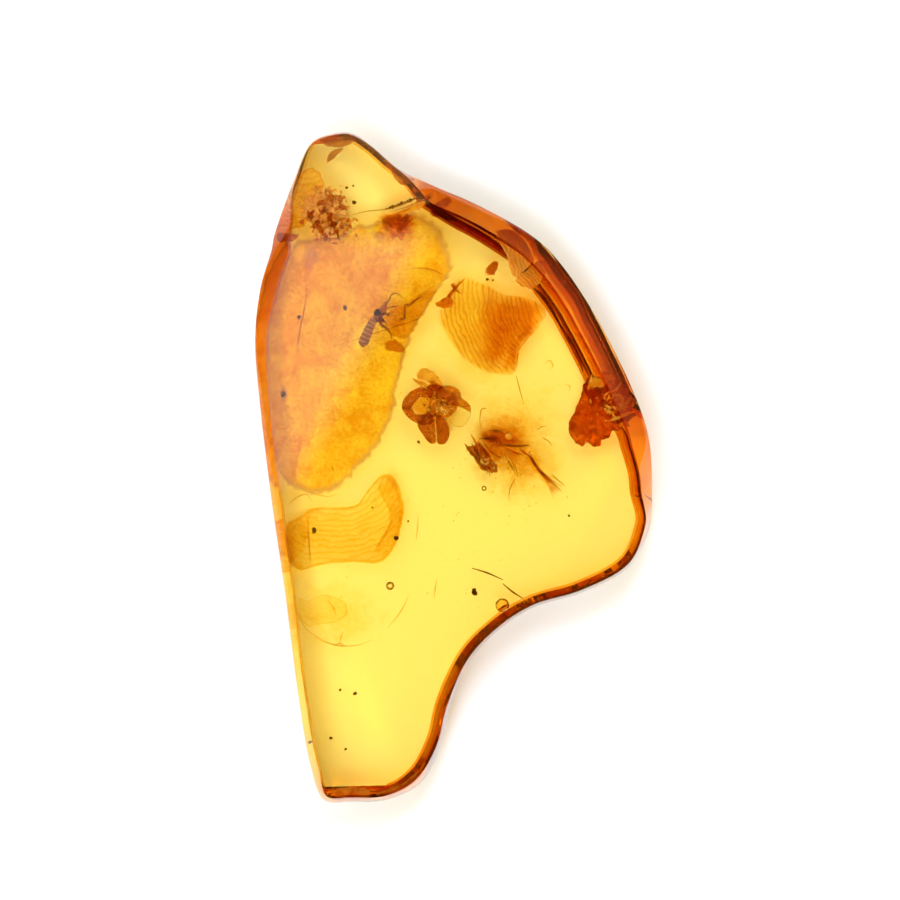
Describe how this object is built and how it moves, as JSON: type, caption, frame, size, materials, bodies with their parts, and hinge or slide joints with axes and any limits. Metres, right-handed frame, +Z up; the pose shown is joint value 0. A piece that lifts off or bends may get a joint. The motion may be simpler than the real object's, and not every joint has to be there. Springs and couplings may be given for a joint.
{
  "type": "insect in amber",
  "caption": "Polished slab of clear golden fossil resin with an insect, a small flower, bubbles and fracture veils sealed in it.",
  "frame": {"origin": "middle of the piece's box, on the flat face that it lies on", "axes": "+Z up through the thickness, +Y along the length towards the narrow end, +X across towards the rounded bulge"},
  "size_m": [0.0214, 0.036, 0.0062],
  "materials": {
    "amber": "polished clear golden resin",
    "inclusion": "dark brown fossil matter sealed in the resin"
  },
  "bodies": {
    "root": {"amber_piece": "amber"}
  },
  "joints": []
}
